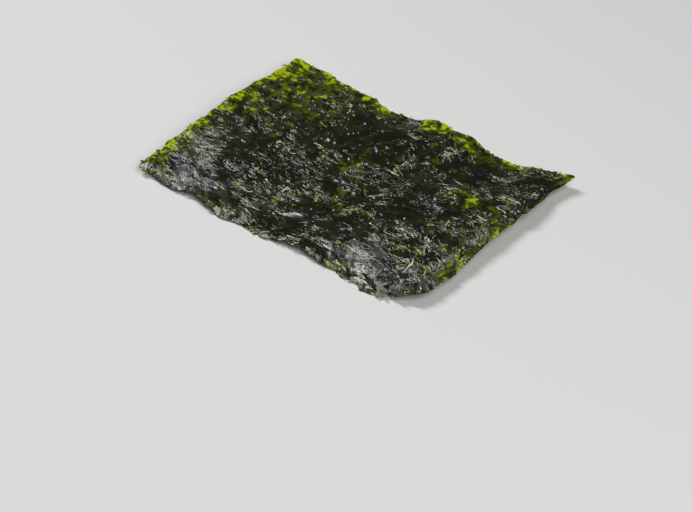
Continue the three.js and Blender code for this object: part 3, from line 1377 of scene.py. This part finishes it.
def lay_strands(name, settings, colours, family, spread, chance=tangled, lean=0.0, dry=0.0):
    """Makes one piece of many strands with these settings, leaning off the grain and drier by some amount."""
    rng = np.random.default_rng(settings.seed)
    top = SheetTop(SHEET, FLAKES, FILM)
    x, y, turn = strand_places(rng, top, settings.count, family, spread, settings.along, chance)
    turn = turn + lean * smooth_field(x, y, "lean") * np.clip(LEAN_SLOPE * x / HALF_LENGTH, LEAN_LEFT, 1)
    length = settings.length * rng.lognormal(0, LENGTH_SPREAD, len(x))
    width = settings.width * rng.lognormal(0, WIDTH_SPREAD, len(x))
    points = strand_points(rng, top, x, y, turn, length, width)
    mesh = scatter_mesh(name, points, strand_faces(), strand_values(rng, x, y, dry))
    dress(new_piece(name, mesh), scrap_material(name, colours, STRAND_GLOSS, OILED))


class NORI_OT_strands(bpy.types.Operator):
    """Lays fine strands of chopped leaf on the sheet"""

    bl_idname = "nori.strands"
    bl_label = "Leaf Strands"

    def execute(self, context):
        settings = context.scene.nori
        lay_strands("laver_strands", settings.strands, settings.colours, family=6, spread=0.65 * MM)
        return {"FINISHED"}


class NORI_OT_shreds(bpy.types.Operator):
    """Lays wider folds and shreds of leaf on the sheet"""

    bl_idname = "nori.shreds"
    bl_label = "Leaf Shreds"

    def execute(self, context):
        settings = context.scene.nori
        lay_strands("laver_shreds", settings.shreds, settings.colours, family=3, spread=1.2 * MM)
        return {"FINISHED"}


class NORI_OT_combings(bpy.types.Operator):
    """Lays fine pale strands side by side in the sheen along the near side"""

    bl_idname = "nori.combings"
    bl_label = "Combed Strands"

    def execute(self, context):
        settings = context.scene.nori
        lay_strands(
            "laver_combings", settings.combings, settings.colours,
            family=7, spread=0.55 * MM, chance=combed, lean=-0.7, dry=0.32)
        return {"FINISHED"}


# Salt

# How far the corners of a grain of unit size are cut, and the share of its lower half that is over the sheet
CORNER_CUT = 0.22
SITTING = 0.6


def salt_grain():
    """A cube with its corners cut, as the points and faces of one grain."""
    deselect_all()
    bpy.ops.mesh.primitive_cube_add(size=1.0)
    grain = bpy.context.object
    bpy.ops.object.mode_set(mode="EDIT")
    bpy.ops.mesh.bevel(offset=CORNER_CUT, affect="VERTICES")
    bpy.ops.mesh.quads_convert_to_tris()
    bpy.ops.object.mode_set(mode="OBJECT")
    points = np.array([v.co for v in grain.data.vertices])
    faces = [tuple(p.vertices) for p in grain.data.polygons]
    bpy.data.objects.remove(grain)
    return points, faces


def random_turns(rng, count):
    """Random rotation matrices."""
    q = rng.normal(0, 1, (count, 4))
    w, x, y, z = (q / np.linalg.norm(q, axis=1, keepdims=True)).T
    return np.stack([
        np.stack([1 - 2 * (y * y + z * z), 2 * (x * y - z * w), 2 * (x * z + y * w)], axis=-1),
        np.stack([2 * (x * y + z * w), 1 - 2 * (x * x + z * z), 2 * (y * z - x * w)], axis=-1),
        np.stack([2 * (x * z - y * w), 2 * (y * z + x * w), 1 - 2 * (x * x + y * y)], axis=-1),
    ], axis=1)


def salty(x, y):
    """How likely a grain of salt is at a place."""
    return oval_share(x, y, SALTY_PLACES)


class NORI_OT_salt(bpy.types.Operator):
    """Scatters fine salt over the sheet"""

    bl_idname = "nori.salt"
    bl_label = "Salt"

    # Spread of the sizes, and unevenness of each grain
    SPREAD = 0.3
    UNEVEN = (0.7, 1.3)

    def execute(self, context):
        settings = context.scene.nori
        salt = settings.salt
        rng = np.random.default_rng(salt.seed)
        top = SheetTop(SHEET)
        grain, faces = salt_grain()
        x, y = likely_places(rng, top, salt.count, salty, tries=8, inset=2 * MM)
        count = len(x)
        size = salt.size * rng.lognormal(0, self.SPREAD, (count, 1)) * rng.uniform(*self.UNEVEN, (count, 3))
        shaped = grain[None] * size[:, None]
        points = np.einsum("nij,nvj->nvi", random_turns(rng, count), shaped)
        lowest = points[..., 2].min(axis=1)
        points += np.stack([x, y, top.height(x, y) - lowest * SITTING], axis=-1)[:, None]
        piece = new_piece("salt_grains", scatter_mesh("salt_grains", points, faces, {}))
        piece.data.materials.append(salt_material(settings.colours))
        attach(piece, BODY)
        return {"FINISHED"}


# Stage

FLOOR_SIZE = 6.0
AMBIENT_COLOUR = (1.0, 0.99, 0.97, 1.0)
KEY_TOWARDS = Vector((-0.50, 0.00, 0.86))
KEY_DISTANCE = 0.7
KEY_COLOUR = (0.98, 0.99, 1.0)
FILL_TOWARDS = Vector((0.66, -0.30, 0.70))
FILL_DISTANCE = 0.9
FILL_COLOUR = (1.0, 0.985, 0.94)
CLIP_START = 0.01


def aim(obj, towards):
    """Turns a light or camera so that it looks along a direction."""
    obj.rotation_euler = towards.to_track_quat("-Z", "Y").to_euler()


def soft_light(name, towards, distance, size, power, colour):
    """Adds a rectangular area light in some direction from the origin, facing it."""
    bpy.ops.object.light_add(type="AREA", location=towards.normalized() * distance)
    light = bpy.context.object
    light.name = name
    light.data.shape = "RECTANGLE"
    light.data.size, light.data.size_y = size
    light.data.energy = power
    light.data.color = colour
    aim(light, -towards)


class NORI_OT_stage(bpy.types.Operator):
    """Adds the floor, the lights and the camera"""

    bl_idname = "nori.stage"
    bl_label = "Stage"

    def execute(self, context):
        scene = context.scene
        settings = scene.nori.stage
        deselect_all()
        bpy.ops.mesh.primitive_plane_add(size=FLOOR_SIZE)
        floor = context.object
        floor.name = "floor"
        floor.data.materials.append(floor_material(settings.floor))
        world = bpy.data.worlds.new("studio")
        world.use_nodes = True
        background = world.node_tree.nodes["Background"]
        background.inputs["Color"].default_value = AMBIENT_COLOUR
        background.inputs["Strength"].default_value = settings.ambient
        scene.world = world
        soft_light("key_light", KEY_TOWARDS, KEY_DISTANCE, settings.key_size, settings.key_power, KEY_COLOUR)
        fill_size = (settings.fill_size, settings.fill_size)
        soft_light("fill_light", FILL_TOWARDS, FILL_DISTANCE, fill_size, settings.fill_power, FILL_COLOUR)
        back = Vector((
            math.sin(settings.azimuth) * math.cos(settings.elevation),
            -math.cos(settings.azimuth) * math.cos(settings.elevation),
            math.sin(settings.elevation),
        ))
        bpy.ops.object.camera_add(location=Vector(settings.look_at) + back * settings.distance)
        camera = context.object
        camera.name = "camera"
        camera.data.lens = settings.lens
        camera.data.clip_start = CLIP_START
        aim(camera, -back)
        scene.camera = camera
        scene.view_settings.view_transform = "Standard"
        return {"FINISHED"}


OPERATORS = (
    NORI_OT_sheet, NORI_OT_flakes, NORI_OT_flecks, NORI_OT_film, NORI_OT_tatters, NORI_OT_fringe,
    NORI_OT_strands, NORI_OT_shreds, NORI_OT_combings, NORI_OT_salt, NORI_OT_stage,
)


class NORI_PT_build(bpy.types.Panel):
    """Settings of the nori sheet and the buttons that build it"""

    bl_label = "Nori Sheet"
    bl_idname = "NORI_PT_build"
    bl_space_type = "VIEW_3D"
    bl_region_type = "UI"
    bl_category = "Nori"

    def draw(self, context):
        for group in NoriSettings.__annotations__:
            settings = getattr(context.scene.nori, group)
            box = self.layout.box()
            box.label(text=group.capitalize())
            for key in type(settings).__annotations__:
                box.prop(settings, key)
        for operator in OPERATORS:
            self.layout.operator(operator.bl_idname)


SETTINGS = (
    SheetSettings, FlakeSettings, FleckSettings, FilmSettings, TatterSettings, FringeSettings,
    StrandSettings, ShredSettings, CombingSettings, SaltSettings, ColourSettings, StageSettings, NoriSettings,
)
CLASSES = (*SETTINGS, *OPERATORS, NORI_PT_build)


def register():
    for cls in CLASSES:
        bpy.utils.register_class(cls)
    bpy.types.Scene.nori = PointerProperty(type=NoriSettings)


def unregister():
    del bpy.types.Scene.nori
    for cls in reversed(CLASSES):
        bpy.utils.unregister_class(cls)


def main():
    register()
    bpy.ops.nori.sheet()
    bpy.ops.nori.flakes()
    bpy.ops.nori.flecks()
    bpy.ops.nori.film()
    bpy.ops.nori.tatters()
    bpy.ops.nori.fringe()
    bpy.ops.nori.strands()
    bpy.ops.nori.shreds()
    bpy.ops.nori.combings()
    bpy.ops.nori.salt()
    bpy.ops.nori.stage()


if __name__ == "__main__":
    main()
